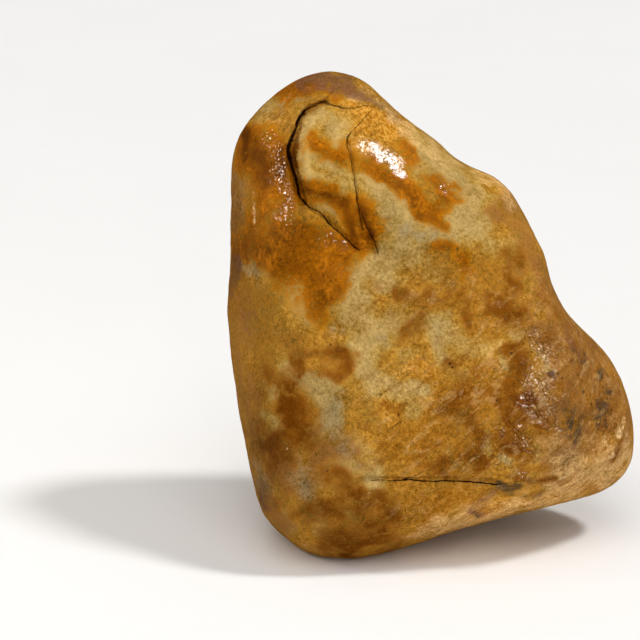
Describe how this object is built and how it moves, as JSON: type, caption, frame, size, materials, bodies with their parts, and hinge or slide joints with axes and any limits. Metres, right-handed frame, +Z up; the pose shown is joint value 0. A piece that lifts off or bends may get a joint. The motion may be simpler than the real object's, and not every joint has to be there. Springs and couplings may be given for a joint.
{
  "type": "jasper boulder",
  "caption": "Tall water-worn jasper boulder that leans back on a small flat, with a deep cleft beside a loose block near its peak and a long crack low on its broad face.",
  "frame": {"origin": "on the plane of the resting flat, under the middle of the stone's box", "axes": "+Z up, +X to the right of the broad face, +Y away from the viewer through the stone to its back"},
  "size_m": [0.367, 0.264, 0.4105],
  "materials": {
    "jasper": "water-worn, wet, sandy grained, mottled golden, amber and pale"
  },
  "bodies": {
    "root": {"boulder": "jasper"}
  },
  "joints": []
}
